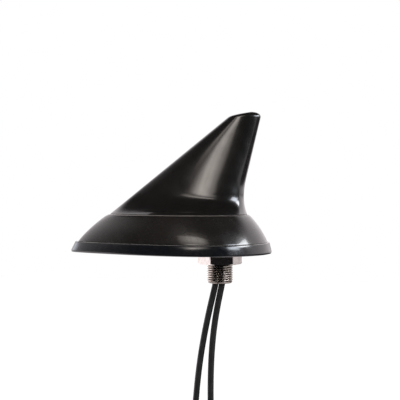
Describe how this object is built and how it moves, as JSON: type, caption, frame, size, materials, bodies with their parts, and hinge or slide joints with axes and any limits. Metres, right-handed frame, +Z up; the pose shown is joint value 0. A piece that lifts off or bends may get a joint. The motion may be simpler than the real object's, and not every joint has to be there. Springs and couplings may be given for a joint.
{
  "type": "shark fin roof aerial",
  "caption": "Swept-back roof aerial: glossy fin on a flared skirt and rubber gasket, with a hollow threaded stud, fixing nut and two coaxial leads underneath.",
  "frame": {"origin": "stud axis at the gasket's flat underside, which is the roof plane", "axes": "+Z up out of the roof, +X to the tail, -X to the nose, the stud and its leads along -Z"},
  "size_m": [0.1116, 0.0756, 0.2695],
  "materials": {
    "fin_plastic": "moulded black plastic, polished",
    "skirt_plastic": "moulded black plastic, polished",
    "gasket_rubber": "moulded black rubber with a wet-looking surface",
    "cast_metal": "die-cast, matt",
    "stud_nickel": "turned and nickel-plated, threaded",
    "nut_nickel": "turned and nickel-plated",
    "grommet_rubber": "soft black rubber",
    "board_green": "glass-fibre board with solder mask",
    "chip_black": "moulded chip packages",
    "patch_ceramic": "sintered ceramic",
    "silver_foil": "fired silver layer",
    "tinned_brass": "tinned brass",
    "tin_sheet": "tinned sheet",
    "copper_track": "copper track",
    "foam_black": "open-cell foam",
    "former_black": "moulded bobbin",
    "copper_wire": "enamelled copper wire",
    "screw_zinc": "zinc-plated",
    "screw_dark": "dark plated",
    "lead_jacket": "extruded black jacket",
    "sleeve_metal": "crimped, plated",
    "plug_plastic": "moulded black plastic",
    "contact_metal": "plated contact"
  },
  "bodies": {
    "root": {"fin_cover": "fin_plastic", "skirt_shell": "skirt_plastic", "base_gasket": "gasket_rubber", "base_plate": "cast_metal", "roof_stud": "stud_nickel", "fixing_nut": "nut_nickel", "stud_grommet": "grommet_rubber", "main_board": "board_green", "board_chips": "chip_black", "patch_block": "patch_ceramic", "patch_electrode": "silver_foil", "patch_pin": "tinned_brass", "shield_can": "tin_sheet", "fin_board": "board_green", "fin_radiator": "copper_track", "top_plate": "tin_sheet", "foam_pad": "foam_black", "coil_former": "former_black", "coil_winding": "copper_wire", "board_screws": "screw_zinc", "skirt_screws": "screw_dark", "cover_screws": "screw_dark", "lead_clips": "tinned_brass", "front_lead": "lead_jacket", "rear_lead": "lead_jacket", "front_plug_sleeve": "sleeve_metal", "front_plug_body": "plug_plastic", "front_plug_contact": "contact_metal", "rear_plug_sleeve": "sleeve_metal", "rear_plug_body": "plug_plastic", "rear_plug_contact": "contact_metal"}
  },
  "joints": []
}
